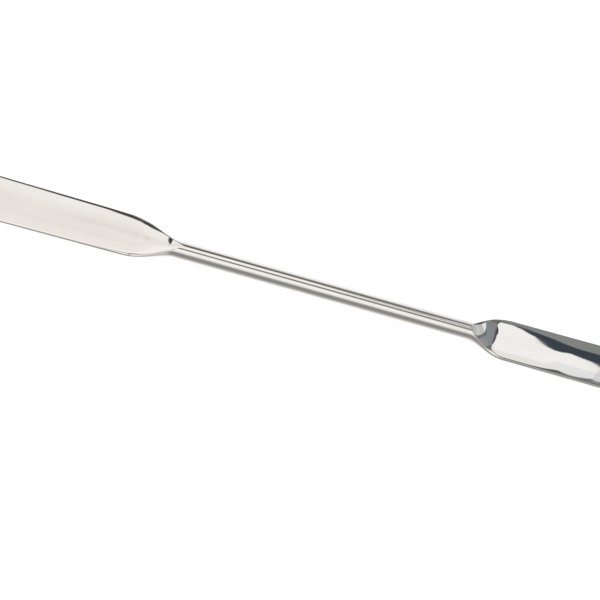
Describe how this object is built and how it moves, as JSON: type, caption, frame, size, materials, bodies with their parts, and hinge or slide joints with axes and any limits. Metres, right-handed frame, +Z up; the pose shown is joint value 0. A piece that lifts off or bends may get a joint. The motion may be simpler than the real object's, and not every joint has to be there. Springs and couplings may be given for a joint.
{
  "type": "lab spatula",
  "caption": "Lab spatula: a round polished steel handle drawn out at each end into a thin, flat, round-tipped blade, for scooping and transferring powders.",
  "frame": {"origin": "on the table, under the middle of the handle's axis, with the spatula lying as it comes to rest", "axes": "+X along the handle toward the blade with the short shoulder, +Y toward the side whose blade edges touch the table, +Z up"},
  "size_m": [0.185, 0.0087, 0.0034],
  "materials": {
    "steel": "mirror-polished 18/8 stainless steel with fine drawing lines along the handle"
  },
  "bodies": {
    "root": {"spatula": "steel"}
  },
  "joints": []
}
